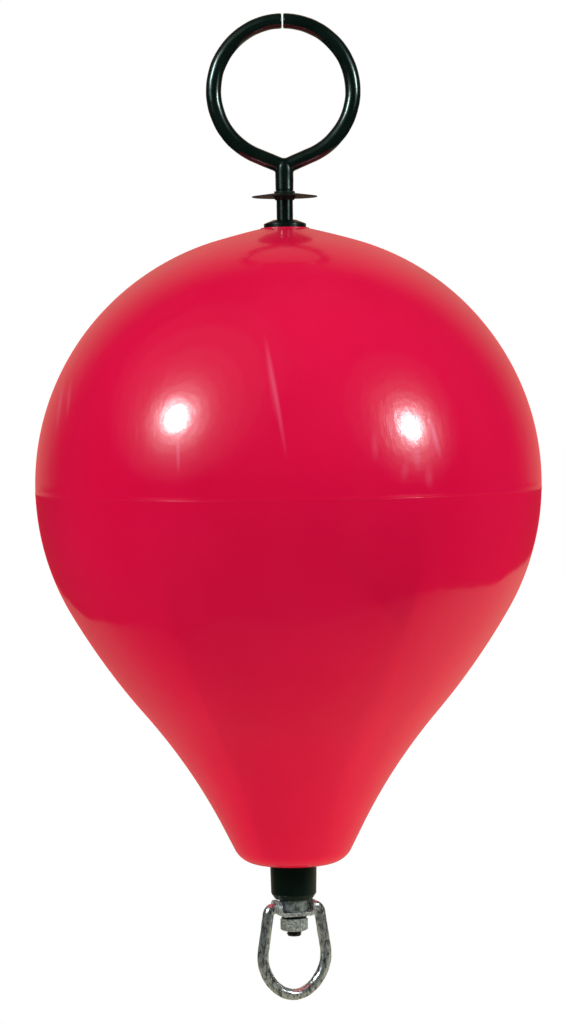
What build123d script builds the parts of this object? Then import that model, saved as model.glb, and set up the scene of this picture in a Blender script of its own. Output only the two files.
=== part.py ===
from build123d import *
import math
import os

# Pear-shaped mooring buoy: a two-part moulded float on a through tube, an eye rod with a coated
# ring at the top, and a galvanised swivel below it whose bow takes the mooring chain.
# Millimetres, +Z up. The origin is on the axis, in the plane of the float's seam.
# The ring lies in the XZ plane. Angles are in degrees.

# Clearances
FIT = 0.1  # radial, between pieces that are fixed to each other
RUN = 0.25  # between pieces that turn on each other

# Float
FLOAT_RADIUS = 200.0
CENTRE_ABOVE_SEAM = 5.0
FLOAT_WALL = 5.0
SHOULDER_RADIUS = 540.0
WAIST_ANGLE = 40.4  # of the skin against the axis, where the shoulder runs into the hollow waist
WAIST_RADIUS = 470.0
NECK_ANGLE = 26.6  # of the skin against the axis, from the waist's end to the bottom
NECK_RADIUS = 54.6  # where the waist runs into the straight neck
NECK_LENGTH = 18.2
BOTTOM_FILLET = 20.0
SEAM_GROOVE = 0.6
CROWN_RADIUS = 56.0  # where the dome runs into a flatter crown towards the tube
CROWN_CURVE = 700.0  # radius of the crown's profile
BOSS_MARGIN = 2.5  # of the top boss round the tube
BOSS_LIP = 0.6  # of the boss over the crown
BOSS_FILLET = 0.4

# Through tube and its bushes
TUBE_RADIUS = 16.75
TUBE_WALL = 4.0
TUBE_TOP_PROUD = 3.5
STUB_LENGTH = 24.5
STUB_RADIUS = 18.6  # under the float, where the tube is thicker
STUB_TAPER = 0.6
SPIGOT_LENGTH = 15.0
TOP_BUSH_RISE = 2.8
TOP_BUSH_LIP = 0.6
TOP_BUSH_LAND = 2.5
BOTTOM_BUSH_NOSE = 4.5
BOTTOM_BUSH_TAPER = 3.0

# Eye rod, ring and guard disc
THREAD_RADIUS = 6.0  # M12
COAT = 0.5
ROD_END_PROUD = 4.5
ROD_END_CHAMFER = 1.0
ROD_SHOWN = 15.5  # between the top bush and the guard disc's hub
HUB_HEIGHT = 7.0
HUB_COLLAR = 1.5
HUB_WALL = 1.6
HUB_FLARE = 1.4
GUARD_RADIUS = 25.8
GUARD_ROOT = 1.6  # thickness at the hub
GUARD_RIM = 0.8  # thickness at the rim
GUARD_DROOP = 2.4
SLEEVE_WALL = 0.6  # of the ring's neck round the rod
NECK_HEIGHT = 19.1  # from the guard disc to where the ring's two arms meet
ROD_IN_NECK = 14.0
RING_RADIUS = 54.9  # to the middle of the bar
RING_BAR_RADIUS = 6.1
RING_ARM_ANGLE = 23.1  # of the straight arms against the horizontal
RING_SLIT = 1.1
RING_END_ROUNDING = 0.8

# Swivel
SWIVEL_ANGLE = 20.0  # how far the yoke stands turned about the rod
SPACER_RADIUS = 11.5
SPACER_HEIGHT = 9.8
SPACER_CHAMFER = 1.0
YOKE_THICKNESS = 3.2
YOKE_INSIDE = 25.6
YOKE_WIDTH = 21.0
YOKE_BEND = 2.0
EAR_HEIGHT = 12.2  # over the yoke's underside
EAR_CORNER = 6.0
PIVOT_HEIGHT = 6.2  # over the yoke's underside
PIVOT_RADIUS = 3.0
WASHER_RADIUS = 10.0
WASHER_HEIGHT = 2.0
NUT_FLATS = 19.0
NUT_HEIGHT = 10.0
NUT_CHAMFER_ANGLE = 30.0
BOW_BAR_RADIUS = 4.5
BOW_SHOULDER_RADIUS = 5.6
BOW_HALF_WIDTH = 26.75  # to the middle of the bar, at the widest
BOW_WIDEST_DROP = 38.6  # below the pivot
BOW_DROP = 70.3  # from the pivot to the middle of the bar at the bottom
BOW_BOTTOM_RADIUS = 21.0

# Radii that follow
ROD_RADIUS = THREAD_RADIUS + COAT
TUBE_BORE = TUBE_RADIUS - TUBE_WALL
TUBE_HOLE = TUBE_RADIUS + FIT
STUB_TIP = STUB_RADIUS - STUB_TAPER
BOSS_RADIUS = TUBE_RADIUS + BOSS_MARGIN


def at(radius, height):
    """Point of a turned profile."""
    return Vector(radius, 0, height)


def normal(angle):
    """Outward direction of a profile whose skin faces this far below the horizontal."""
    return Vector(math.cos(math.radians(angle)), 0, -math.sin(math.radians(angle)))


def arc(centre, radius, start, end):
    """Profile arc between two skin angles. A negative radius makes it hollow."""
    points = [centre + normal(a) * radius for a in (start, (start + end) / 2, end)]
    return ThreePointArc(*points)


def turned(*corners):
    """Solid turned about the axis from a closed outline of (radius, height) corners."""
    outline = Polyline(*[at(*corner) for corner in corners], close=True)
    return revolve(make_face(outline), Axis.Z)


def turned_from(edges):
    """Solid turned about the axis from connected edges and the straight lines that join their gaps."""
    closed = []
    for edge, following in zip(edges, edges[1:] + edges[:1]):
        closed.append(edge)
        if (following @ 0 - edge @ 1).length > 1e-6:
            closed.append(Line(edge @ 1, following @ 0))
    return revolve(make_face(closed), Axis.Z)


def circle_edge(solid, radius, height):
    """The round edge of a turned solid at this radius and height."""
    found = solid.edges().filter_by(GeomType.CIRCLE)
    return found.sort_by(lambda e: abs(e.radius - radius) + abs(e.arc_center.Z - height))[0]


# Profile of the pear: tangent arcs from the seam down to the neck. The sphere gives way to the
# shoulder at the angle that brings the waist's end to the neck's radius.
SPHERE_CENTRE = at(0, CENTRE_ABOVE_SEAM)
SHOULDER_ANGLE = math.degrees(math.acos(
    (
        (SHOULDER_RADIUS + WAIST_RADIUS) * math.cos(math.radians(WAIST_ANGLE))
        - WAIST_RADIUS * math.cos(math.radians(NECK_ANGLE))
        - NECK_RADIUS
    )
    / (SHOULDER_RADIUS - FLOAT_RADIUS)
))
PEAR_ARCS = (  # signed radius, angle where the arc ends
    (FLOAT_RADIUS, SHOULDER_ANGLE),
    (SHOULDER_RADIUS, WAIST_ANGLE),
    (-WAIST_RADIUS, NECK_ANGLE),
)

# Crown: a flatter arc, tangent to the dome, that ends at the boss.
CROWN_ANGLE = -math.degrees(math.acos(CROWN_RADIUS / FLOAT_RADIUS))
CROWN_CENTRE = SPHERE_CENTRE + normal(CROWN_ANGLE) * (FLOAT_RADIUS - CROWN_CURVE)
BOSS_ANGLE = -math.degrees(math.acos((BOSS_RADIUS - CROWN_CENTRE.X) / CROWN_CURVE))


def pear_side(inset):
    """Edges of the lower float's side, this far inside its outer skin, from the seam to the flat bottom."""
    angle = math.degrees(math.asin(CENTRE_ABOVE_SEAM / (FLOAT_RADIUS - inset)))
    skin = SPHERE_CENTRE + normal(angle) * FLOAT_RADIUS
    centre = SPHERE_CENTRE
    edges = []
    for radius, end in PEAR_ARCS:
        if edges:
            centre = skin - normal(angle) * radius
        edges.append(arc(centre, radius - inset, angle, end))
        angle = end
        skin = centre + normal(angle) * radius
    along = Vector(-math.sin(math.radians(angle)), 0, -math.cos(math.radians(angle)))
    neck_end = skin + along * NECK_LENGTH
    edges.append(Line(skin - normal(angle) * inset, neck_end - normal(angle) * inset))
    corner = neck_end - normal(angle) * BOTTOM_FILLET
    edges.append(arc(corner, BOTTOM_FILLET - inset, angle, 90))
    return edges


# Heights, from the float outwards
BOTTOM_Z = (pear_side(0)[-1] @ 1).Z
STUB_END_Z = BOTTOM_Z - STUB_LENGTH
SPACER_TOP_Z = STUB_END_Z - BOTTOM_BUSH_NOSE
YOKE_TOP_Z = SPACER_TOP_Z - SPACER_HEIGHT - RUN
YOKE_Z = YOKE_TOP_Z - YOKE_THICKNESS
PIVOT_Z = YOKE_Z + PIVOT_HEIGHT
WASHER_TOP_Z = YOKE_Z - RUN
NUT_TOP_Z = WASHER_TOP_Z - WASHER_HEIGHT
ROD_END_Z = NUT_TOP_Z - NUT_HEIGHT - ROD_END_PROUD
BOSS_TOP_Z = (CROWN_CENTRE + normal(BOSS_ANGLE) * CROWN_CURVE).Z + BOSS_LIP
TUBE_TOP_Z = BOSS_TOP_Z + TUBE_TOP_PROUD
TOP_BUSH_Z = TUBE_TOP_Z + TOP_BUSH_RISE
HUB_Z = TOP_BUSH_Z + ROD_SHOWN
NECK_Z = HUB_Z + HUB_HEIGHT
ROD_TOP_Z = NECK_Z + ROD_IN_NECK
ARMS_Z = NECK_Z + NECK_HEIGHT
RING_Z = ARMS_Z + RING_RADIUS / math.cos(math.radians(RING_ARM_ANGLE))


def float_upper():
    """Domed upper half of the float, with a flatter crown and a low boss round the tube."""
    seam = math.degrees(math.asin(CENTRE_ABOVE_SEAM / FLOAT_RADIUS))
    inner_radius = FLOAT_RADIUS - FLOAT_WALL
    inner_seam = math.degrees(math.asin(CENTRE_ABOVE_SEAM / inner_radius))
    hole_edge = -math.degrees(math.acos(TUBE_HOLE / inner_radius))
    shell = turned_from([
        arc(SPHERE_CENTRE, FLOAT_RADIUS, seam, CROWN_ANGLE),
        arc(CROWN_CENTRE, CROWN_CURVE, CROWN_ANGLE, BOSS_ANGLE),
        Line(at(BOSS_RADIUS, BOSS_TOP_Z), at(TUBE_HOLE, BOSS_TOP_Z)),
        arc(SPHERE_CENTRE, inner_radius, hole_edge, inner_seam),
    ])
    shell = fillet(circle_edge(shell, BOSS_RADIUS, BOSS_TOP_Z), BOSS_FILLET)
    return chamfer(circle_edge(shell, FLOAT_RADIUS, 0), SEAM_GROOVE)


def float_lower():
    """Pear-shaped lower half of the float, down to its flat bottom."""
    bottom = Line(at(TUBE_HOLE, BOTTOM_Z), at(TUBE_HOLE, BOTTOM_Z + FLOAT_WALL))
    inside = [edge.edge().reversed() for edge in reversed(pear_side(FLOAT_WALL))]
    shell = turned_from(pear_side(0) + [bottom] + inside)
    return chamfer(circle_edge(shell, FLOAT_RADIUS, 0), SEAM_GROOVE)


def through_tube():
    """Tube that carries the rod through the float. Below the float it is a thicker, tapered stub."""
    return turned(
        (TUBE_BORE, TUBE_TOP_Z),
        (TUBE_RADIUS, TUBE_TOP_Z),
        (TUBE_RADIUS, BOTTOM_Z),
        (STUB_RADIUS, BOTTOM_Z),
        (STUB_TIP, STUB_END_Z),
        (TUBE_BORE, STUB_END_Z),
    )


def top_bush():
    """Bush with a low conical top that centres the rod in the tube."""
    bore = ROD_RADIUS + FIT
    spigot = TUBE_BORE - FIT
    return turned(
        (bore, TOP_BUSH_Z),
        (bore + TOP_BUSH_LAND, TOP_BUSH_Z),
        (TUBE_RADIUS - TOP_BUSH_LIP, TUBE_TOP_Z),
        (spigot, TUBE_TOP_Z),
        (spigot, TUBE_TOP_Z - SPIGOT_LENGTH),
        (bore, TUBE_TOP_Z - SPIGOT_LENGTH),
    )


def bottom_bush():
    """Bush with a tapered nose that closes the tube's lower end."""
    bore = ROD_RADIUS + FIT
    spigot = TUBE_BORE - FIT
    return turned(
        (bore, STUB_END_Z + SPIGOT_LENGTH),
        (spigot, STUB_END_Z + SPIGOT_LENGTH),
        (spigot, STUB_END_Z),
        (STUB_TIP, STUB_END_Z),
        (STUB_TIP - BOTTOM_BUSH_TAPER, SPACER_TOP_Z),
        (bore, SPACER_TOP_Z),
    )


def rod():
    """Coated rod, bare where its lower end is threaded for the swivel."""
    return turned(
        (0, ROD_END_Z),
        (THREAD_RADIUS - ROD_END_CHAMFER, ROD_END_Z),
        (THREAD_RADIUS, ROD_END_Z + ROD_END_CHAMFER),
        (THREAD_RADIUS, SPACER_TOP_Z),
        (ROD_RADIUS, SPACER_TOP_Z),
        (ROD_RADIUS, ROD_TOP_Z),
        (0, ROD_TOP_Z),
    )


def guard_disc():
    """Thin drooping disc on a flared hub, under the ring's neck."""
    bore = ROD_RADIUS + FIT
    root = NECK_Z - HUB_COLLAR
    hub = bore + HUB_WALL
    return turned(
        (bore, NECK_Z),
        (hub, NECK_Z),
        (hub, root),
        (GUARD_RADIUS, root - GUARD_DROOP),
        (GUARD_RADIUS, root - GUARD_DROOP - GUARD_RIM),
        (hub + HUB_FLARE, root - GUARD_ROOT),
        (bore + HUB_WALL / 2, HUB_Z),
        (bore, HUB_Z),
    )


def ring_eye():
    """Split ring whose two straight arms meet on a neck that sleeves the rod's top."""
    arm_end = math.radians(RING_ARM_ANGLE)
    slit = math.asin(RING_SLIT / 2 / RING_RADIUS)
    centre = at(0, RING_Z)

    def on_ring(angle):
        """Point of the bar's middle, by its angle from the top."""
        return centre + Vector(math.sin(angle), 0, math.cos(angle)) * RING_RADIUS

    last = math.pi - arm_end
    curve = ThreePointArc(on_ring(slit), on_ring((slit + last) / 2), on_ring(last))
    path = Wire([curve.edge(), Line(on_ring(last), at(0, ARMS_Z)).edge()])
    bar = Plane(path @ 0, z_dir=path % 0) * Circle(RING_BAR_RADIUS)
    arm = sweep(bar, path)
    arm = fillet(arm.edges().sort_by(Axis.Z)[-1], RING_END_ROUNDING)
    neck_radius = ROD_RADIUS + FIT + SLEEVE_WALL
    neck = Pos(0, 0, NECK_Z) * Cylinder(
        neck_radius, NECK_HEIGHT, align=(Align.CENTER, Align.CENTER, Align.MIN)
    )
    crown = Pos(0, 0, ARMS_Z) * Sphere(neck_radius)
    socket = Pos(0, 0, NECK_Z) * Cylinder(
        ROD_RADIUS + FIT, ROD_IN_NECK + FIT, align=(Align.CENTER, Align.CENTER, Align.MIN)
    )
    return arm + mirror(arm, Plane.YZ) + neck + crown - socket


def spacer_collar():
    """Steel collar on the rod, between the tube's lower bush and the yoke."""
    bore = THREAD_RADIUS + FIT
    bottom = SPACER_TOP_Z - SPACER_HEIGHT
    return turned(
        (bore, SPACER_TOP_Z),
        (SPACER_RADIUS - SPACER_CHAMFER, SPACER_TOP_Z),
        (SPACER_RADIUS, SPACER_TOP_Z - SPACER_CHAMFER),
        (SPACER_RADIUS, bottom + SPACER_CHAMFER),
        (SPACER_RADIUS - SPACER_CHAMFER, bottom),
        (bore, bottom),
    )


def swivel_yoke():
    """Bracket bent up at both ends into ears that carry the bow. It turns on the rod."""
    outside = YOKE_INSIDE + 2 * YOKE_THICKNESS
    base = (Align.CENTER, Align.CENTER, Align.MIN)
    block = Pos(0, 0, YOKE_Z) * Box(outside, YOKE_WIDTH, EAR_HEIGHT, align=base)
    lower = block.edges().filter_by(Axis.Y).group_by(Axis.Z)[0]
    block = fillet(lower, YOKE_BEND + YOKE_THICKNESS)
    hollow = Pos(0, 0, YOKE_TOP_Z) * Box(YOKE_INSIDE, 2 * YOKE_WIDTH, EAR_HEIGHT, align=base)
    lower = hollow.edges().filter_by(Axis.Y).group_by(Axis.Z)[0]
    hollow = fillet(lower, YOKE_BEND)
    yoke = block - hollow
    corners = yoke.edges().filter_by(Axis.X).group_by(Axis.Z)[-1]
    yoke = fillet(corners, EAR_CORNER)
    yoke -= Pos(0, 0, YOKE_Z) * Cylinder(THREAD_RADIUS + RUN, 2 * EAR_HEIGHT)
    pivot = Plane(origin=(0, 0, PIVOT_Z), z_dir=(1, 0, 0))
    yoke -= pivot * Cylinder(PIVOT_RADIUS + FIT, 2 * outside)
    return Rot(0, 0, SWIVEL_ANGLE) * yoke


def thrust_washer():
    """Plastic washer that the yoke turns on."""
    return turned(
        (THREAD_RADIUS + FIT, WASHER_TOP_Z),
        (WASHER_RADIUS, WASHER_TOP_Z),
        (WASHER_RADIUS, NUT_TOP_Z),
        (THREAD_RADIUS + FIT, NUT_TOP_Z),
    )


def hex_nut():
    """Nut on the rod's thread, its corners chamfered at both faces."""
    bottom = NUT_TOP_Z - NUT_HEIGHT
    corner = NUT_FLATS / math.sqrt(3)
    face = NUT_FLATS / 2
    drop = (corner - face) * math.tan(math.radians(NUT_CHAMFER_ANGLE))
    outline = RegularPolygon(face, 6, major_radius=False) - Circle(THREAD_RADIUS + FIT)
    prism = Pos(0, 0, bottom) * extrude(outline, NUT_HEIGHT)
    return prism & turned(
        (0, NUT_TOP_Z),
        (face, NUT_TOP_Z),
        (corner, NUT_TOP_Z - drop),
        (corner, bottom + drop),
        (face, bottom),
        (0, bottom),
    )


def swivel_bow():
    """Round-bar bow, pear-shaped, with its ends turned in through the yoke's ears."""
    start = YOKE_INSIDE / 2 + YOKE_THICKNESS + RUN
    widest_z = PIVOT_Z - BOW_WIDEST_DROP
    bottom_z = PIVOT_Z - BOW_DROP
    # The hip's arc passes through the widest point and runs into the bottom's arc.
    rise = BOW_DROP - BOW_WIDEST_DROP - BOW_BOTTOM_RADIUS
    reach = BOW_HALF_WIDTH - BOW_BOTTOM_RADIUS
    excess = (rise**2 + reach**2) / (2 * reach)
    hip_radius = BOW_BOTTOM_RADIUS + excess
    hip_angle = math.degrees(math.atan2(rise, excess - reach))
    hip = at(BOW_HALF_WIDTH - hip_radius, widest_z)
    shoulder = at(start, PIVOT_Z - BOW_SHOULDER_RADIUS)
    # The leg is the outer tangent of the shoulder's and the hip's circles.
    offset = hip - shoulder
    lean = math.atan2(-offset.Z, -offset.X)
    splay = lean - math.acos((hip_radius - BOW_SHOULDER_RADIUS) / offset.length)
    leg_angle = -math.degrees(splay)
    bend = arc(shoulder, BOW_SHOULDER_RADIUS, -90, leg_angle)
    side = arc(hip, hip_radius, leg_angle, hip_angle)
    floor = arc(at(0, bottom_z + BOW_BOTTOM_RADIUS), BOW_BOTTOM_RADIUS, hip_angle, 90)
    path = Wire([bend.edge(), Line(bend @ 1, side @ 0).edge(), side.edge(), floor.edge()])
    bar = Plane(path @ 0, z_dir=path % 0) * Circle(BOW_BAR_RADIUS)
    half = sweep(bar, path)
    pin_end = YOKE_INSIDE / 2 - RUN
    pin = Plane(origin=(pin_end, 0, PIVOT_Z), z_dir=(1, 0, 0)) * Cylinder(
        PIVOT_RADIUS,
        start - pin_end,
        align=(Align.CENTER, Align.CENTER, Align.MIN),
    )
    half += pin
    return Rot(0, 0, SWIVEL_ANGLE) * (half + mirror(half, Plane.YZ))


PIECES = (
    float_upper,
    float_lower,
    through_tube,
    top_bush,
    bottom_bush,
    rod,
    guard_disc,
    ring_eye,
    spacer_collar,
    swivel_yoke,
    thrust_washer,
    hex_nut,
    swivel_bow,
)

os.makedirs("parts", exist_ok=True)
for piece in PIECES:
    export_step(piece(), f"parts/{piece.__name__}.step")
for label, height in (
    ("ring top", RING_Z + RING_RADIUS + RING_BAR_RADIUS),
    ("ring centre", RING_Z),
    ("boss top", BOSS_TOP_Z),
    ("float bottom", BOTTOM_Z),
    ("yoke underside", YOKE_Z),
    ("pivot", PIVOT_Z),
    ("rod end", ROD_END_Z),
    ("bow bottom", PIVOT_Z - BOW_DROP - BOW_BAR_RADIUS),
):
    print(f"{label}: z {height:.2f}")
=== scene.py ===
import math

import bmesh
import bpy
from mathutils import Matrix, Vector, noise


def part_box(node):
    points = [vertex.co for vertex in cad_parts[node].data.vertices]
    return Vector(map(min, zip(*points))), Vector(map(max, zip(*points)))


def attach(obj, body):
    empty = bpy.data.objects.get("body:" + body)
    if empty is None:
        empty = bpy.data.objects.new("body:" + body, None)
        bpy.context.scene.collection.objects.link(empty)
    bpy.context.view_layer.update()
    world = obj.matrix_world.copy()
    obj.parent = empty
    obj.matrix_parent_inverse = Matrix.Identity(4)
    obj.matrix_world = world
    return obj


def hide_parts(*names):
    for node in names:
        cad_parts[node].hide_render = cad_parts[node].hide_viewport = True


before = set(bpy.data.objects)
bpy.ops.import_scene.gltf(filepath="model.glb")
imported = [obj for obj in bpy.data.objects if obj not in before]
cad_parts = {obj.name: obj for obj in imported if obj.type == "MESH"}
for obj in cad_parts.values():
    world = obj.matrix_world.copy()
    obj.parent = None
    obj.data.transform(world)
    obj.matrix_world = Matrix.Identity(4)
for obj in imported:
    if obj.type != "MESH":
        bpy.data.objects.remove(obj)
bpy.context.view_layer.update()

# Pear-shaped mooring buoy in its studio. Metres and degrees, +Z up, the photograph looks along +Y.
# The origin is on the axis, in the plane of the float's seam.
MM = 0.001
FIT = 0.1 * MM  # gap between pieces that fit together

# Float
FLOAT_RADIUS = 200 * MM
CENTRE_ABOVE_SEAM = 5 * MM
FLOAT_WALL = 5 * MM
CROWN_RADIUS = 56 * MM  # where the dome runs into a flatter crown
CROWN_CURVE = 700 * MM
BOSS_MARGIN = 2.5 * MM
BOSS_LIP = 0.6 * MM
BOSS_EDGE = 0.3 * MM
BOSS_FOOT = 0.15 * MM  # hollow between crown and boss
BORE_DEPTH = 12 * MM
INNER_MARGIN = 1 * MM  # from the bore to the inner skin
SHOULDER_RADIUS = 540 * MM
SHOULDER_ANGLE = 30.05
WAIST_RADIUS = 470 * MM
WAIST_ANGLE = 40.4
NECK_ANGLE = 26.6
NECK_LENGTH = 18.2 * MM
BOTTOM_FILLET = 20 * MM
BOTTOM_CHAMFER = 0.4 * MM
SEAM_RIDGE = 0.17 * MM  # how far the weld line stands out
SEAM_WIDTH = 2.5 * MM
WAVE_DEPTH = 0.22 * MM  # unevenness of the moulded skin
WAVE_LENGTH = 95 * MM
CALM_BY_SEAM = 15 * MM  # where the unevenness fades out
CALM_BY_AXIS = 60 * MM

# Points along the float's outline
SEAM_ARC = 0.6  # angle next to the seam with closer points
SEAM_STEPS = 10
DOME_STEPS = 100
CROWN_STEPS = 16
INNER_STEPS = 40
NECK_STEPS = 8
FILLET_STEPS = 20

# Wear on the float, and pale painted highlights below the lamps' reflections
# The first four marks are scuffs on the skin; the rest are painted highlights, pale streaks and patches
# under the reflections of the two lamps.
SCUFFS_AND_PAINTED_HIGHLIGHTS = (  # x, z and half length in millimetres, lean, half width in millimetres, strength
    (-9, 77, 52, 9, 2.2, 0.26),
    (-13, 92, 40, 7, 2.2, 0.12),
    (-175, 72, 24, -6, 2.6, 0.2),
    (-167, 76, 18, -4, 2.2, 0.16),
    (-81, 34, 15, 0, 1.8, 0.30),
    (63, 38, 12, 0, 3.5, 0.12),
    (75, 52, 10, 10, 4.0, 0.10),
    (85, 20, 9, -10, 4.0, 0.12),
    (94, 31, 13, 4, 3.5, 0.20),
    (103, 15, 10, 0, 4.0, 0.14),
    (108, 44, 18, 15, 2.5, 0.38),
)
SCUFF_AND_HIGHLIGHT_DEPTH = 40 * MM
CHAFED_ABOVE = 168 * MM  # the crown is dulled by the ring
CHAFED_FADE = 30 * MM
CHAFED_ROUGHNESS = 0.12

# Tube and bushes
TUBE_RADIUS = 16.75 * MM
TUBE_WALL = 4 * MM
TUBE_RIM_EDGE = 0.7 * MM
STUB_EDGE = 0.2 * MM
BUSH_EDGE = 0.25 * MM
BUSH_LAND = 2.5 * MM  # flat round the rod on the conical top
BUSH_LAND_EDGE = 1.2 * MM
BUSH_BORE_EDGE = 0.3 * MM
NOSE_TAPER = 3 * MM
NOSE_EDGE = 0.8 * MM

# Guard disc
GUARD_HUB_WALL = 1.6 * MM
GUARD_HUB_RISE = 1.5 * MM  # above the disc
GUARD_HUB_EDGE = 0.4 * MM
GUARD_HOLLOW = 0.6 * MM  # between hub and disc
GUARD_DROOP = 2.4 * MM
GUARD_RIM = 0.8 * MM  # thickness at the rim
GUARD_ROOT = 1.6 * MM  # thickness at the hub
GUARD_EDGE = 0.3 * MM
GUARD_FLARE = 1.4 * MM  # of the hub under the disc
GUARD_FLARE_CURVE = 1.5 * MM
GUARD_FOOT_WALL = 0.8 * MM

# Rod, collar and washer
ROD_RADIUS = 6.5 * MM
ROD_TOP_EDGE = 0.5 * MM
ROD_FOOT_EDGE = 0.2 * MM
THREAD_RADIUS = 6.0 * MM
THREAD_BORE = THREAD_RADIUS + FIT
THREAD_DEPTH = 0.95 * MM
THREAD_PITCH = 1.75 * MM
THREAD_ROWS = 10  # rows of points to a pitch
THREAD_SLOPE = 2.6  # of the flanks, in depths to a pitch
THREAD_CREST = 0.15  # share of the depth that the flat crest takes
THREAD_CHAMFER = 1.2 * MM
THREAD_CHAMFER_LENGTH = 1.4 * MM
COLLAR_EDGE = 1.3 * MM
WASHER_EDGE = 0.4 * MM

# Facets round a turned piece
TURNS = 160
FLOAT_TURNS = 288
THREAD_TURNS = 96

# Meshes
ARC_STEPS = 5
ARC_LEAD = 0.15  # from an arc to the next point on the flat, as a share of its radius
SAME_POINT = 1e-7  # distance within which points are merged
NO_LENGTH = 1e-8  # length below which an edge is dropped
SMOOTHING = 0.5  # how far a point moves to its neighbours' mean in each round

# Colours
REDS = ((0.68, 0.002, 0.046), (0.75, 0.003, 0.055))
# Pale pink of the scuffs and of the painted highlights on the float
SCUFF_AND_HIGHLIGHT_PINK = (0.9, 0.25, 0.42, 1.0)
GLOW_RED = (1.0, 0.03, 0.08, 1.0)  # of light that passes through the skin at its edges
BLACKS = ((0.002, 0.007, 0.005), (0.004, 0.011, 0.008))
RUBBER_BLACKS = ((0.004, 0.009, 0.007), (0.007, 0.014, 0.011))
GREEN_SHEEN = (0.72, 1.0, 0.95, 1.0)  # of reflections in the black pieces
ZINC_TINT = (0.82, 0.95, 0.96, 1.0)
STEEL_GREYS = ((0.08, 0.12, 0.11), (0.36, 0.43, 0.45))
# Dark greys of the thread: painted shade, as it hangs in the nut's shadow
SHADED_THREAD_GREYS = ((0.05, 0.055, 0.052), (0.13, 0.135, 0.13))

# Camera, fitted to the photograph's frame
CAMERA_DISTANCE = 2.4
CAMERA_HEIGHT = 88.4 * MM
CAMERA_SIDE = -7.5 * MM
CAMERA_PITCH = 2.518
CAMERA_YAW = -0.061
CAMERA_ROLL = -0.759
CAMERA_FOV = 19.174

# Room
ROOM_LEVEL = 0.42
ROOM_SLOPE = (0.03, 0.7, 0.16)  # lighter to the right, behind and above
ROOM_RISE = (0.06, 0.7, 0.8)  # lighter towards both ends of each axis
ROOM_GLOSS = 0.006  # level in reflections

# Paper floor and backdrop
SHEET_GREY = 0.02
SHEET_ROUGHNESS = 0.9
PAPER_Z = -0.43
PAPER_TINT = (1.0, 0.86, 0.6)
PAPER_OUTLINE = (  # x, y: its front edge shows as a curved line across the float's lower half
    (-0.2, -0.35),
    (-0.33, -0.15),
    (-0.4, -0.11),
    (-0.49, 0.01),
    (-0.58, 0.28),
    (-0.64, 0.62),
    (-0.75, 1.2),
    (-0.85, 3.9),
    (1.1, 6.5),
    (1.06, 1.4),
    (0.97, 0.82),
    (0.86, 0.47),
    (0.77, 0.2),
    (0.69, -0.01),
    (0.62, -0.15),
    (0.5, -0.25),
    (0.3, -0.35),
)
PAPER_LIGHT = (1.08, 2.12)  # outside and inside the last oval
PAPER_OVALS = (  # centre, reach, edge, low, high
    ((0.5, 4.0, PAPER_Z), (3.0, 4.35, 1.0), 0.09, 0.0, 1.0),
    ((1.0, 0.75, PAPER_Z), (1.8, 8.0, 1.0), 1.0, 0.18, 0.36),
)
BACKDROP_Y = 2.5
BACKDROP_HALF_WIDTH = 4.6
BACKDROP_FOOT = -0.1
BACKDROP_TOP = 7.2
BACKDROP_TINT = (1.0, 0.6, 0.42)
BACKDROP_LIGHT = (1.8, 1.8)
BACKDROP_OVALS = (((0.0, BACKDROP_Y, 1.2), (4.0, 1.0, 5.5), 1.0, 0.0, 0.55),)

# Lamps in umbrellas
LAMP_DISTANCE = 1.7
LAMP_SIZE = 0.34
LAMP_POWER = 5.0
LAMPS = (  # side, azimuth, elevation, share of the power, rings of its umbrella
    ("left", -52.5, 27, 1.0, 8),
    ("right", 56.5, 22, 0.8, 6),
)
UMBRELLA_STEP = 0.01  # from ring to ring, away from the float
UMBRELLA_RINGS = (  # size, power, lift above the lamp's elevation
    (0.46, 2.8, 0),
    (0.64, 2.0, 0),
    (0.86, 1.7, 0),
    (1.1, 1.2, 1),
    (1.35, 0.8, 2),
    (1.7, 0.9, 4),
    (2.2, 1.2, 8),
    (2.8, 0.9, 13),
)


# Making meshes


def new_object(name, mesh):
    """Object with smooth faces, in the scene."""
    mesh.shade_smooth()
    made = bpy.data.objects.new(name, mesh)
    bpy.context.scene.collection.objects.link(made)
    return made


def cleaned(mesh):
    """The mesh with doubled points merged, loose edges gone and its faces turned outwards."""
    bm = bmesh.new()
    bm.from_mesh(mesh)
    bmesh.ops.remove_doubles(bm, verts=bm.verts, dist=SAME_POINT)
    bmesh.ops.dissolve_degenerate(bm, edges=bm.edges, dist=NO_LENGTH)
    loose = [edge for edge in bm.edges if not edge.link_faces]
    bmesh.ops.delete(bm, geom=loose, context="EDGES")
    bmesh.ops.recalc_face_normals(bm, faces=bm.faces)
    bm.to_mesh(mesh)
    bm.free()
    return mesh


def lathe(name, outline, turns=TURNS):
    """Piece turned about the axis from a closed loop of (radius, height) points."""
    count = len(outline)
    points = []
    for turn in range(turns):
        angle = 2 * math.pi * turn / turns
        points += [(r * math.cos(angle), r * math.sin(angle), z) for r, z in outline]
    faces = []
    for turn in range(turns):
        here, there = turn * count, (turn + 1) % turns * count
        for i in range(count):
            j = (i + 1) % count
            faces.append((here + i, there + i, there + j, here + j))
    mesh = bpy.data.meshes.new(name)
    mesh.from_pydata(points, [], faces)
    return new_object(name, cleaned(mesh))


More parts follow.
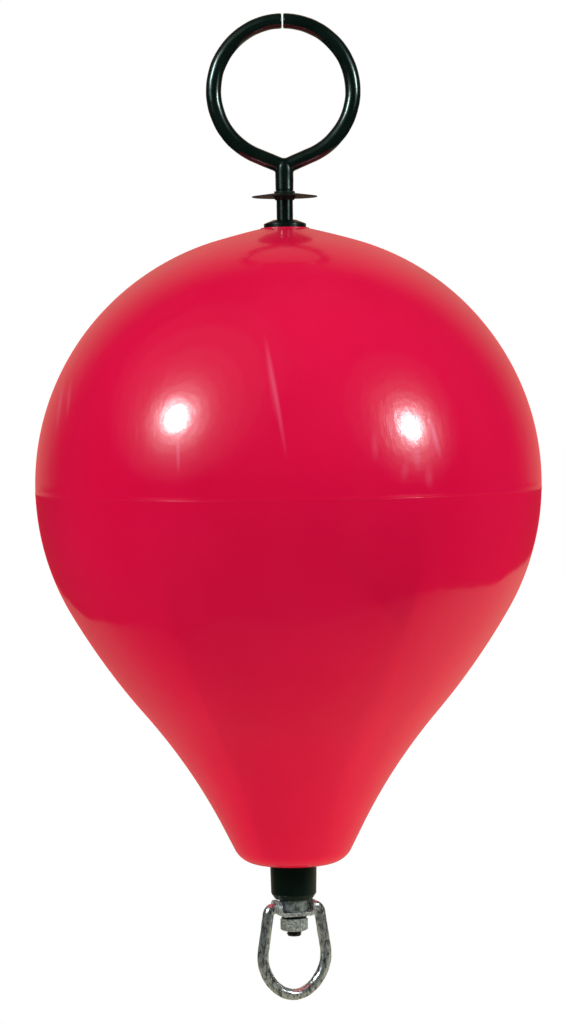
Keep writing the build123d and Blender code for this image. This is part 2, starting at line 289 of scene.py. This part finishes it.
def rounded(corners):
    """Outline through (radius, height, rounding) corners, with arcs at the corners."""
    outline = []
    for i, (r, z, rounding) in enumerate(corners):
        corner = Vector((r, z))
        if not rounding:
            outline.append((r, z))
            continue
        before = (Vector(corners[i - 1][:2]) - corner).normalized()
        after = (Vector(corners[(i + 1) % len(corners)][:2]) - corner).normalized()
        half = before.angle(after) / 2
        reach = rounding / math.tan(half)
        centre = corner + (before + after).normalized() * rounding / math.sin(half)
        start = corner + before * reach
        end = corner + after * reach
        outline.append(tuple(start + before * rounding * ARC_LEAD))
        for k in range(ARC_STEPS + 1):
            spoke = (start - centre).slerp(end - centre, k / ARC_STEPS).normalized()
            outline.append(tuple(centre + spoke * rounding))
        outline.append(tuple(end + after * rounding * ARC_LEAD))
    return outline


def arc_points(centre, radius, start, end, count):
    """Points of a profile arc by skin angle, in degrees below the horizontal."""
    points = []
    for k in range(count + 1):
        angle = math.radians(start + (end - start) * k / count)
        points.append((centre[0] + radius * math.cos(angle), centre[1] - radius * math.sin(angle)))
    return points


def uneven(piece, depth, size, keep=lambda co: 1.0):
    """Moves each point along its normal by smooth noise, scaled by keep."""
    mesh = piece.data
    normals = [vertex.normal.copy() for vertex in mesh.vertices]
    for vertex, normal in zip(mesh.vertices, normals):
        wave = noise.noise(vertex.co / size)
        vertex.co += normal * wave * depth * keep(vertex.co)


def softened(name, node, voxel, rounds, lump_depth, lump_size):
    """A node's shape with worn edges, blended corners and a lumpy skin."""
    made = new_object(name, cleaned(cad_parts[node].data.copy()))
    remesh = made.modifiers.new("remesh", "REMESH")
    remesh.mode = "VOXEL"
    remesh.voxel_size = voxel
    smooth = made.modifiers.new("smooth", "SMOOTH")
    smooth.factor = SMOOTHING
    smooth.iterations = rounds
    graph = bpy.context.evaluated_depsgraph_get()
    mesh = bpy.data.meshes.new_from_object(made.evaluated_get(graph))
    made.modifiers.clear()
    made.data = mesh
    mesh.materials.clear()
    uneven(made, lump_depth, lump_size)
    mesh.shade_smooth()
    return made


# Materials


class Nodes:
    """Shader nodes of a material or of the room."""

    def __init__(self, tree):
        self.tree = tree

    def node(self, kind, inputs=None, **settings):
        """A node of this kind, with its settings and its inputs linked or set."""
        made = self.tree.nodes.new("ShaderNode" + kind)
        for key, value in settings.items():
            setattr(made, key, value)
        for key, value in (inputs or {}).items():
            if isinstance(value, bpy.types.NodeSocket):
                self.tree.links.new(value, made.inputs[key])
            else:
                made.inputs[key].default_value = value
        return made

    def arithmetic(self, operation, *values):
        """Result of an operation on links or plain numbers."""
        return self.node("Math", dict(enumerate(values)), operation=operation).outputs["Value"]

    def shown_rays(self, glossy, diffuse):
        """1 for camera and transmission rays, and these levels for glossy and diffuse rays."""
        path = self.node("LightPath").outputs
        total = path["Is Camera Ray"]
        levels = {"Is Glossy Ray": glossy, "Is Diffuse Ray": diffuse, "Is Transmission Ray": 1.0}
        for ray, level in levels.items():
            total = self.arithmetic("MULTIPLY_ADD", path[ray], level, total)
        return total


class Paint(Nodes):
    """A material under construction: its shader and the nodes that feed it."""

    def __init__(self, name, **constants):
        self.material = bpy.data.materials.new(name)
        self.material.use_nodes = True
        super().__init__(self.material.node_tree)
        self.shader = self.tree.nodes["Principled BSDF"]
        for socket, value in constants.items():
            self.shader.inputs[socket.replace("_", " ")].default_value = value
        self.place = self.node("TexCoord").outputs["Object"]

    def stretched(self, x, y, z):
        """The piece's own coordinates, scaled along each axis."""
        return self.node("Mapping", {"Vector": self.place, "Scale": (x, y, z)}).outputs["Vector"]

    def noise(self, scale, detail=3, rough=0.5, vector=None):
        """Noise from 0 to 1, with about this many waves to the metre."""
        values = {"Vector": vector or self.place, "Scale": scale, "Detail": detail, "Roughness": rough}
        return self.node("TexNoise", values).outputs["Fac"]

    def oval(self, **place):
        """1 at the middle of an oval with this place and size, falling to 0 at its edge."""
        values = {"Vector": self.place, **place}
        inside = self.node("Mapping", values, vector_type="TEXTURE").outputs["Vector"]
        return self.node("TexGradient", {"Vector": inside}, gradient_type="SPHERICAL").outputs["Fac"]

    def ramp(self, factor, *stops):
        """Colours or grey levels along a factor: (position, value) stops."""
        made = self.node("ValToRGB", {"Fac": factor})
        elements = made.color_ramp.elements
        while len(elements) < len(stops):
            elements.new(0.5)
        for element, (position, value) in zip(elements, stops):
            element.position = position
            grey = isinstance(value, (int, float))
            element.color = (value, value, value, 1) if grey else (*value, 1)
        return made.outputs["Color"]

    def mottled(self, clouds, tones, low=0.3, high=0.7):
        """Colour from the first tone to the second through clouds of noise."""
        return self.ramp(clouds, (low, tones[0]), (high, tones[1]))

    def spread(self, factor, low, high):
        """The factor mapped from 0..1 to low..high."""
        made = self.node("MapRange", {"Value": factor, "To Min": low, "To Max": high})
        return made.outputs["Result"]

    def eased(self, value, **ends):
        """The value mapped between these ends, with a soft start and stop."""
        inputs = {name.replace("_", " "): end for name, end in ends.items()}
        inputs["Value"] = value
        return self.node("MapRange", inputs, interpolation_type="SMOOTHSTEP").outputs["Result"]

    def feed(self, socket, value):
        """Links a value to the shader."""
        self.tree.links.new(value, self.shader.inputs[socket])

    def bump(self, height, distance, strength):
        """Surface relief of this depth in metres."""
        relief = self.node("Bump", {"Height": height, "Distance": distance, "Strength": strength})
        self.feed("Normal", relief.outputs["Normal"])


def scuffs_and_painted_highlights(paint):
    """Strength of the thin pale marks on the float's front, scuffs and painted highlights, fading to 0
    round each.
    """
    total = 0.0
    for x, z, half_length, lean, half_width, strength in SCUFFS_AND_PAINTED_HIGHLIGHTS:
        place = Vector((x * MM, 0, z * MM))
        place.y = -math.sqrt(FLOAT_RADIUS**2 - place.x**2 - (place.z - CENTRE_ABOVE_SEAM) ** 2)
        mark = paint.oval(
            Location=place,
            Rotation=(0, math.radians(-lean), 0),
            Scale=(half_width * MM, SCUFF_AND_HIGHLIGHT_DEPTH, half_length * MM),
        )
        total = paint.arithmetic("MULTIPLY_ADD", mark, strength, total)
    return total


def red_plastic():
    """Glossy moulded plastic, slightly uneven, with handling marks that run up and down, and pale
    painted highlights below the lamps' reflections.
    """
    paint = Paint(
        "red_plastic",
        IOR=1.5,
        Coat_Weight=0.3,
        Coat_Roughness=0.06,
        Coat_IOR=1.5,
        Sheen_Weight=1.0,
        Sheen_Roughness=0.3,
        Sheen_Tint=GLOW_RED,
    )
    red = paint.mottled(paint.noise(7, 4), REDS)
    # Pale pink where the float is scuffed, and painted highlights below the lamps' reflections
    scuffed_and_highlit = paint.node("MixRGB", {"Fac": scuffs_and_painted_highlights(paint), "Color1": red, "Color2": SCUFF_AND_HIGHLIGHT_PINK})
    paint.feed("Base Color", scuffed_and_highlit.outputs["Color"])
    streaks = paint.noise(26, 5, 0.6, paint.stretched(1, 1, 0.16))
    height = paint.node("SeparateXYZ", {"Vector": paint.place}).outputs["Z"]
    chafed_top = CHAFED_ABOVE + CHAFED_FADE
    chafed = paint.eased(height, From_Min=CHAFED_ABOVE, From_Max=chafed_top, To_Max=CHAFED_ROUGHNESS)
    paint.feed("Roughness", paint.arithmetic("ADD", paint.spread(streaks, 0.07, 0.16), chafed))
    ripples = paint.noise(60, 4, 0.55)
    scuffs = paint.noise(95, 3, 0.6, paint.stretched(1, 1, 0.18))
    worn = paint.ramp(paint.noise(11, 2), (0.42, 0.1), (0.6, 1.0))
    relief = paint.arithmetic("MULTIPLY_ADD", scuffs, worn, ripples)
    paint.bump(relief, 0.6 * MM, 0.4)
    return paint.material


def black_coat():
    """Glossy dipped plastic coat with a greenish cast."""
    paint = Paint("black_coat", IOR=1.75, Specular_Tint=GREEN_SHEEN)
    paint.feed("Base Color", paint.mottled(paint.noise(40, 4), BLACKS))
    paint.feed("Roughness", paint.spread(paint.noise(120, 4), 0.09, 0.2))
    paint.bump(paint.noise(160, 3), 0.3 * MM, 0.3)
    return paint.material


def black_rubber():
    """Matt black rubber."""
    paint = Paint("black_rubber", IOR=1.3, Specular_Tint=GREEN_SHEEN)
    paint.feed("Base Color", paint.mottled(paint.noise(60, 4), RUBBER_BLACKS))
    paint.feed("Roughness", paint.spread(paint.noise(150, 4), 0.4, 0.55))
    paint.bump(paint.noise(900, 2), 0.06 * MM, 0.3)
    return paint.material


def black_plastic():
    """Extruded and moulded black plastic with a soft sheen."""
    paint = Paint("black_plastic", IOR=1.45, Specular_Tint=GREEN_SHEEN)
    paint.feed("Base Color", paint.mottled(paint.noise(60, 4), BLACKS))
    paint.feed("Roughness", paint.spread(paint.noise(150, 4), 0.16, 0.3))
    paint.bump(paint.noise(900, 2), 0.06 * MM, 0.3)
    return paint.material


def zinc(name, metal, grain, run, tones, roughness):
    """Hot-dip galvanising: mottled grain, drawn out into runs, dull and bright by turns."""
    dark, middle, light = tones
    cloud_grain = grain * 0.8
    paint = Paint(name, Metallic=metal)
    drawn = paint.stretched(1, 1, run)
    crystals = paint.node("TexVoronoi", {"Vector": drawn, "Scale": grain}).outputs["Color"]
    grey = paint.node("SeparateColor", {"Color": crystals}).outputs["Red"]
    clouds = paint.noise(cloud_grain, 5, 0.65, drawn)
    mean = paint.arithmetic("MULTIPLY", paint.arithmetic("ADD", grey, clouds), 0.5)
    tone = paint.ramp(mean, (0.3, dark), (0.5, middle), (0.7, light))
    tint = {"Fac": 1.0, "Color1": tone, "Color2": ZINC_TINT}
    paint.feed("Base Color", paint.node("MixRGB", tint, blend_type="MULTIPLY").outputs["Color"])
    paint.feed("Roughness", paint.spread(clouds, *roughness))
    paint.bump(paint.noise(cloud_grain, 4), 0.3 * MM, 0.5)
    return paint.material


def turned_steel():
    """Bright turned steel, stained in places."""
    paint = Paint("turned_steel", Metallic=0.5)
    clouds = paint.noise(260, 4, 0.6)
    paint.feed("Base Color", paint.mottled(clouds, STEEL_GREYS, 0.38, 0.62))
    paint.feed("Roughness", paint.spread(clouds, 0.16, 0.3))
    paint.bump(paint.noise(420, 4), 0.25 * MM, 0.4)
    return paint.material


def shaded_thread_steel():
    """Steel, darkened all over as painted shade below the nut."""
    paint = Paint("shaded_thread_steel", Metallic=1.0)
    clouds = paint.noise(300, 4)
    paint.feed("Base Color", paint.mottled(clouds, SHADED_THREAD_GREYS))
    paint.feed("Roughness", paint.spread(clouds, 0.3, 0.5))
    return paint.material


RED = red_plastic()
COAT = black_coat()
PLASTIC = black_plastic()
RUBBER = black_rubber()
ZINC = zinc("zinc", metal=0.55, grain=700, run=1.0, tones=(0.3, 0.5, 0.75), roughness=(0.2, 0.38))
WORN_ZINC = zinc(
    "worn_zinc", metal=0.87, grain=800, run=0.3, tones=(0.26, 0.95, 1.0), roughness=(0.1, 0.3)
)
STEEL = turned_steel()
SHADED_THREAD_STEEL = shaded_thread_steel()


def finish_piece(piece, body, slot, material, *nodes):
    """Gives a piece its material and the body it moves with, and hides the nodes it stands for."""
    piece.data.materials.clear()
    piece.data.materials.append(material)
    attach(piece, body)
    if nodes:
        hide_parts(*nodes)


# Float halves


def skin_waves(co):
    """The moulding's unevenness fades out towards the seam and the ends."""
    return min(1.0, abs(co.z) / CALM_BY_SEAM) * min(1.0, math.hypot(co.x, co.y) / CALM_BY_AXIS)


def seam_bulge(points):
    """The profile's points, raised into a fine ridge next to the seam."""
    raised = []
    for r, z in points:
        rise = SEAM_RIDGE * max(0.0, 1 - (z / SEAM_WIDTH) ** 2) ** 2
        raised.append((r + rise, z))
    return raised


def dome():
    """Outline of the upper half: outer skin, flatter crown, boss, bore and inner skin."""
    tube = TUBE_RADIUS + FIT
    boss = TUBE_RADIUS + BOSS_MARGIN
    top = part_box("float_upper")[1].z
    centre = (0, CENTRE_ABOVE_SEAM)
    seam = math.degrees(math.asin(CENTRE_ABOVE_SEAM / FLOAT_RADIUS))
    crown = -math.degrees(math.acos(CROWN_RADIUS / FLOAT_RADIUS))
    near_seam = arc_points(centre, FLOAT_RADIUS, seam, seam - SEAM_ARC, SEAM_STEPS)
    side = arc_points(centre, FLOAT_RADIUS, seam - SEAM_ARC, crown, DOME_STEPS)
    crown_side = CROWN_RADIUS * (1 - CROWN_CURVE / FLOAT_RADIUS)
    foot = math.acos((boss - crown_side) / CROWN_CURVE)
    crown_centre = (crown_side, top - BOSS_LIP - CROWN_CURVE * math.sin(foot))
    cap = arc_points(crown_centre, CROWN_CURVE, crown, -math.degrees(foot), CROWN_STEPS)
    lip = rounded([
        (*cap[-2], 0),
        (*cap[-1], BOSS_FOOT),
        (boss, top, BOSS_EDGE),
        (tube, top, BOSS_EDGE),
        (tube, top - BORE_DEPTH, 0),
    ])[1:]
    inner = FLOAT_RADIUS - FLOAT_WALL
    inner_top = -math.degrees(math.acos((tube + INNER_MARGIN) / inner))
    inside = arc_points(centre, inner, inner_top, seam, INNER_STEPS)
    return seam_bulge(near_seam[:-1] + side[:-1]) + cap[:-1] + lip + inside


def pear_arcs(inset):
    """Points of the lower half's side, this far inside its skin, from the seam to the flat bottom."""
    angle = math.degrees(math.asin(CENTRE_ABOVE_SEAM / (FLOAT_RADIUS - inset)))
    centre = Vector((0, CENTRE_ABOVE_SEAM))
    skin = None
    points = []
    rows = (  # signed radius, end angle, steps
        (FLOAT_RADIUS, angle + SEAM_ARC, SEAM_STEPS),
        (FLOAT_RADIUS, SHOULDER_ANGLE, 40),
        (SHOULDER_RADIUS, WAIST_ANGLE, 32),
        (-WAIST_RADIUS, NECK_ANGLE, 36),
    )
    for radius, end, steps in rows:
        facing = Vector((math.cos(math.radians(angle)), -math.sin(math.radians(angle))))
        if skin is not None:
            centre = skin - facing * radius
        points += arc_points(centre, radius - inset, angle, end, steps)[:-1]
        angle = end
        facing = Vector((math.cos(math.radians(angle)), -math.sin(math.radians(angle))))
        skin = centre + facing * radius
    along = Vector((facing.y, -facing.x))
    neck_end = skin + along * NECK_LENGTH
    for k in range(NECK_STEPS):
        points.append(tuple(skin.lerp(neck_end, k / NECK_STEPS) - facing * inset))
    corner = neck_end - facing * BOTTOM_FILLET
    return points + arc_points(corner, BOTTOM_FILLET - inset, angle, 90, FILLET_STEPS)


def pear():
    """Outline of the lower half: outer skin, flat bottom, bore and inner skin."""
    tube = TUBE_RADIUS + FIT
    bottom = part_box("float_lower")[0].z
    hole = [
        (tube + BOTTOM_CHAMFER, bottom),
        (tube, bottom + BOTTOM_CHAMFER),
        (tube, bottom + FLOAT_WALL),
    ]
    return seam_bulge(pear_arcs(0)) + hole + pear_arcs(FLOAT_WALL)[::-1]


for name, node, outline in (
    ("upper_skin", "float_upper", dome()),
    ("lower_skin", "float_lower", pear()),
):
    skin = lathe(name, outline, FLOAT_TURNS)
    uneven(skin, WAVE_DEPTH, WAVE_LENGTH, skin_waves)
    finish_piece(skin, "buoy", "float_red", RED, node)


# Through tube, bushes, guard disc, collar and washer


def stub_tube():
    """Outline of the tube, thicker and tapered below the float."""
    lo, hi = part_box("through_tube")
    bore = TUBE_RADIUS - TUBE_WALL
    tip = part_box("bottom_bush")[1].x
    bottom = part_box("float_lower")[0].z
    return rounded([
        (bore, hi.z, 0),
        (TUBE_RADIUS, hi.z, TUBE_RIM_EDGE),
        (TUBE_RADIUS, bottom, 0),
        (hi.x, bottom, STUB_EDGE),
        (tip, lo.z, BUSH_EDGE),
        (bore, lo.z, 0),
    ])


def upper_bush():
    """Outline of the bush with the low conical top."""
    lo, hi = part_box("top_bush")
    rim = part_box("through_tube")[1].z
    bore = ROD_RADIUS + FIT
    spigot = TUBE_RADIUS - TUBE_WALL - FIT
    return rounded([
        (bore, hi.z, BUSH_BORE_EDGE),
        (bore + BUSH_LAND, hi.z, BUSH_LAND_EDGE),
        (hi.x, rim, BUSH_EDGE),
        (spigot, rim, 0),
        (spigot, lo.z, 0),
        (bore, lo.z, 0),
    ])


def lower_bush():
    """Outline of the bush with the tapered nose."""
    lo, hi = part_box("bottom_bush")
    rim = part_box("through_tube")[0].z
    bore = ROD_RADIUS + FIT
    spigot = TUBE_RADIUS - TUBE_WALL - FIT
    return rounded([
        (bore, hi.z, 0),
        (spigot, hi.z, 0),
        (spigot, rim, 0),
        (hi.x, rim, BUSH_EDGE),
        (hi.x - NOSE_TAPER, lo.z, NOSE_EDGE),
        (bore, lo.z, 0),
    ])


def guard():
    """Outline of the thin drooping disc on its flared hub."""
    lo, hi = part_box("guard_disc")
    bore = ROD_RADIUS + FIT
    hub = bore + GUARD_HUB_WALL
    root = hi.z - GUARD_HUB_RISE
    rim = root - GUARD_DROOP
    return rounded([
        (bore, hi.z, 0),
        (hub, hi.z, GUARD_HUB_EDGE),
        (hub, root, GUARD_HOLLOW),
        (hi.x, rim, GUARD_EDGE),
        (hi.x, rim - GUARD_RIM, GUARD_EDGE),
        (hub + GUARD_FLARE, root - GUARD_ROOT, GUARD_FLARE_CURVE),
        (bore + GUARD_FOOT_WALL, lo.z, GUARD_EDGE),
        (bore, lo.z, 0),
    ])


def ring_of(node, rounding):
    """Outline of a plain ring on the thread, with rounded outer edges."""
    lo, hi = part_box(node)
    return rounded([
        (THREAD_BORE, hi.z, 0),
        (hi.x, hi.z, rounding),
        (hi.x, lo.z, rounding),
        (THREAD_BORE, lo.z, 0),
    ])


for name, node, outline, slot, material in (
    ("tube", "through_tube", stub_tube(), "tube_black", PLASTIC),
    ("upper_bush", "top_bush", upper_bush(), "tube_black", PLASTIC),
    ("lower_bush", "bottom_bush", lower_bush(), "tube_black", PLASTIC),
    ("guard", "guard_disc", guard(), "coat_black", RUBBER),
    ("collar", "spacer_collar", ring_of("spacer_collar", COLLAR_EDGE), "bright_steel", STEEL),
    ("washer", "thrust_washer", ring_of("thrust_washer", WASHER_EDGE), "tube_black", PLASTIC),
):
    finish_piece(lathe(name, outline), "buoy", slot, material, node)


# Rod


def shaft():
    """Outline of the coated rod, from the ring's neck down to the collar."""
    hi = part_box("rod")[1].z
    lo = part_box("spacer_collar")[1].z
    return rounded([
        (0, hi, 0),
        (ROD_RADIUS, hi, ROD_TOP_EDGE),
        (ROD_RADIUS, lo, ROD_FOOT_EDGE),
        (0, lo, 0),
    ])


def thread():
    """Threaded end of the rod, its crests fading into the chamfer."""
    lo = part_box("rod")[0].z
    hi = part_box("spacer_collar")[1].z
    rows = int((hi - lo) / (THREAD_PITCH / THREAD_ROWS))
    outline = [(0.0, hi)]
    for row in range(rows + 1):
        outline.append((THREAD_RADIUS, hi - (hi - lo) * row / rows))
    made = lathe("thread_end", outline + [(0.0, lo)], THREAD_TURNS)
    for vertex in made.data.vertices:
        radius = math.hypot(vertex.co.x, vertex.co.y)
        if radius < THREAD_RADIUS / 2:
            continue
        turn = math.atan2(vertex.co.y, vertex.co.x) / (2 * math.pi)
        phase = (vertex.co.z / THREAD_PITCH + turn) % 1.0
        flank = min(1.0, max(0.0, abs(phase - 0.5) * THREAD_SLOPE - THREAD_CREST))
        chamfer = min(1.0, (vertex.co.z - lo) / THREAD_CHAMFER_LENGTH)
        cut = max(flank * THREAD_DEPTH, (1 - chamfer) * THREAD_CHAMFER)
        vertex.co.x *= 1 - cut / radius
        vertex.co.y *= 1 - cut / radius
    return made


finish_piece(lathe("shaft", shaft()), "buoy", "coat_black", COAT, "rod")
# The thread is dark with painted shade below the nut
finish_piece(thread(), "buoy", "galvanised", SHADED_THREAD_STEEL)

# Ring, swivel and bow: worn and blended shapes of their nodes
for name, node, body, slot, material, voxel, rounds, lump_depth, lump_size in (
    ("ring", "ring_eye", "buoy", "coat_black", COAT, 0.5 * MM, 10, 0.2 * MM, 9 * MM),
    ("yoke", "swivel_yoke", "yoke", "galvanised", ZINC, 0.35 * MM, 4, 0.10 * MM, 4 * MM),
    ("nut", "hex_nut", "buoy", "galvanised", ZINC, 0.28 * MM, 4, 0.05 * MM, 3 * MM),
    ("bow", "swivel_bow", "bow", "galvanised", WORN_ZINC, 0.42 * MM, 6, 0.22 * MM, 5 * MM),
):
    piece = softened(name, node, voxel, rounds, lump_depth, lump_size)
    finish_piece(piece, body, slot, material, node)


# Studio


def camera():
    """Camera at the photograph's viewing angle."""
    data = bpy.data.cameras.new("camera")
    data.sensor_fit = "AUTO"
    data.angle = math.radians(CAMERA_FOV)
    made = bpy.data.objects.new("camera", data)
    bpy.context.scene.collection.objects.link(made)
    turn = (
        Matrix.Rotation(math.radians(CAMERA_YAW), 4, "Z")
        @ Matrix.Rotation(math.radians(90 - CAMERA_PITCH), 4, "X")
        @ Matrix.Rotation(math.radians(CAMERA_ROLL), 4, "Z")
    )
    made.matrix_world = Matrix.Translation((CAMERA_SIDE, -CAMERA_DISTANCE, CAMERA_HEIGHT)) @ turn
    bpy.context.scene.camera = made


def sheet(name, corners, tint, light, ovals):
    """Sheet of paper by the stage. Its reflection rises from low to high inside each oval.

    The light that it throws goes from the first to the second level inside the last oval.
    """
    mesh = bpy.data.meshes.new(name)
    mesh.from_pydata(corners, [], [range(len(corners))])
    made = bpy.data.objects.new(name, mesh)
    bpy.context.scene.collection.objects.link(made)
    made.visible_camera = False
    grey = (SHEET_GREY, SHEET_GREY, SHEET_GREY, 1)
    paint = Paint(name, Base_Color=grey, Roughness=SHEET_ROUGHNESS, Emission_Color=(*tint, 1))
    level = 1.0
    for centre, reach, edge, low, high in ovals:
        oval = paint.oval(Location=centre, Scale=reach)
        fade = paint.eased(oval, From_Max=edge, To_Min=low, To_Max=high)
        level = paint.arithmetic("MULTIPLY", fade, level)
    paint.feed("Emission Strength", paint.shown_rays(level, paint.spread(oval, *light)))
    mesh.materials.append(paint.material)


def surroundings():
    """White to the camera, nearly black in reflections, and a room that is lighter behind and above."""
    world = bpy.data.worlds.new("studio")
    bpy.context.scene.world = world
    world.use_nodes = True
    room = Nodes(world.node_tree)
    towards = room.node("TexCoord").outputs["Generated"]
    either_way = room.node("VectorMath", {0: towards}, operation="ABSOLUTE").outputs["Vector"]
    level = ROOM_LEVEL
    for direction, weights in ((towards, ROOM_SLOPE), (either_way, ROOM_RISE)):
        share = room.node("VectorMath", {0: direction, 1: weights}, operation="DOT_PRODUCT")
        level = room.arithmetic("ADD", share.outputs["Value"], level)
    back = room.tree.nodes["Background"]
    back.inputs["Color"].default_value = (1, 1, 1, 1)
    room.tree.links.new(room.shown_rays(ROOM_GLOSS, level), back.inputs["Strength"])


def lamp(name, azimuth, elevation, distance, size, power, lights_all=True):
    """Round soft lamp aimed at the float. Azimuth 0 is the camera's side, positive to the right.

    A lamp that doesn't light all shows in reflections only.
    """
    data = bpy.data.lights.new(name, "AREA")
    data.shape = "DISK"
    data.size = size
    data.energy = power
    made = bpy.data.objects.new(name, data)
    bpy.context.scene.collection.objects.link(made)
    turn, tilt = math.radians(azimuth), math.radians(elevation)
    level = math.cos(tilt)
    away = Vector((math.sin(turn) * level, -math.cos(turn) * level, math.sin(tilt)))
    made.visible_diffuse = lights_all
    made.location = away * distance
    made.rotation_euler = away.to_track_quat("Z", "Y").to_euler()


def lamp_in_umbrella(side, azimuth, elevation, share, rings):
    """A lamp, and the rings of its umbrella behind it, as the float mirrors them."""
    lamp("lamp_" + side, azimuth, elevation, LAMP_DISTANCE, LAMP_SIZE, LAMP_POWER * share)
    for ring, (size, power, lift) in enumerate(UMBRELLA_RINGS[:rings]):
        distance = LAMP_DISTANCE + UMBRELLA_STEP * (ring + 1)
        lamp(f"umbrella_{side}_{ring}", azimuth, elevation + lift, distance, size, power * share, False)


paper = [(x, y, PAPER_Z) for x, y in PAPER_OUTLINE]
backdrop = [
    (-BACKDROP_HALF_WIDTH, BACKDROP_Y, BACKDROP_FOOT),
    (BACKDROP_HALF_WIDTH, BACKDROP_Y, BACKDROP_FOOT),
    (BACKDROP_HALF_WIDTH, BACKDROP_Y, BACKDROP_TOP),
    (-BACKDROP_HALF_WIDTH, BACKDROP_Y, BACKDROP_TOP),
]
camera()
sheet("paper", paper, PAPER_TINT, PAPER_LIGHT, PAPER_OVALS)
sheet("backdrop", backdrop, BACKDROP_TINT, BACKDROP_LIGHT, BACKDROP_OVALS)
surroundings()
for row in LAMPS:
    lamp_in_umbrella(*row)

bpy.context.scene.view_settings.view_transform = "Standard"
